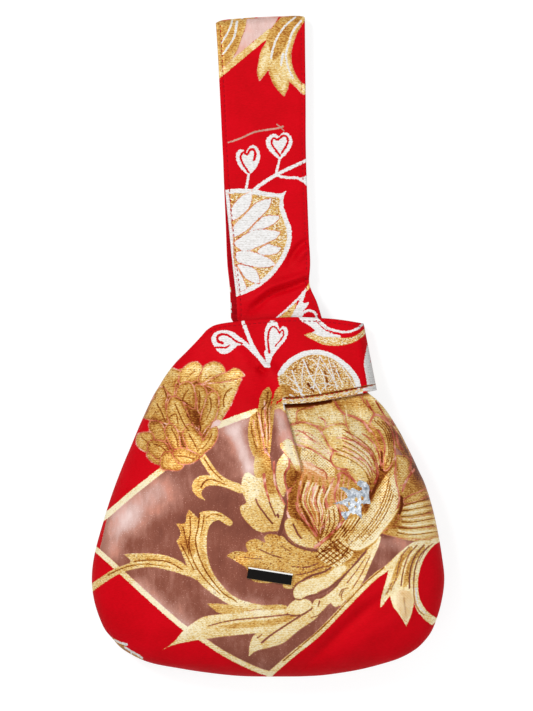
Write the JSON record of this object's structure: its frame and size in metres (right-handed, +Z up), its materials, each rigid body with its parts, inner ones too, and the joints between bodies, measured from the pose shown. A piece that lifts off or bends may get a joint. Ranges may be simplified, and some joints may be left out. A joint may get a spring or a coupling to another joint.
{
  "type": "knot bag",
  "caption": "Small stuffed brocade pouch whose long loop handle is drawn through its short one, which closes it like a knot, with a bare metal name plate.",
  "frame": {"origin": "middle of the box around the lying bag, on the ground", "axes": "+Y towards the top of the long handle, +X to the right seen from above, +Z up out of the front of the bag"},
  "size_m": [0.2536, 0.4766, 0.0734],
  "materials": {
    "brocade": "red satin ground with woven gold, mauve and white motifs",
    "lining": "plain woven lining",
    "name_plate": "glossy black with a bright bevelled edge"
  },
  "bodies": {
    "root": {"outer_front_panel": "brocade", "outer_back_panel": "brocade", "lining_front": "lining", "lining_back": "lining", "name_plate": "name_plate"}
  },
  "joints": []
}
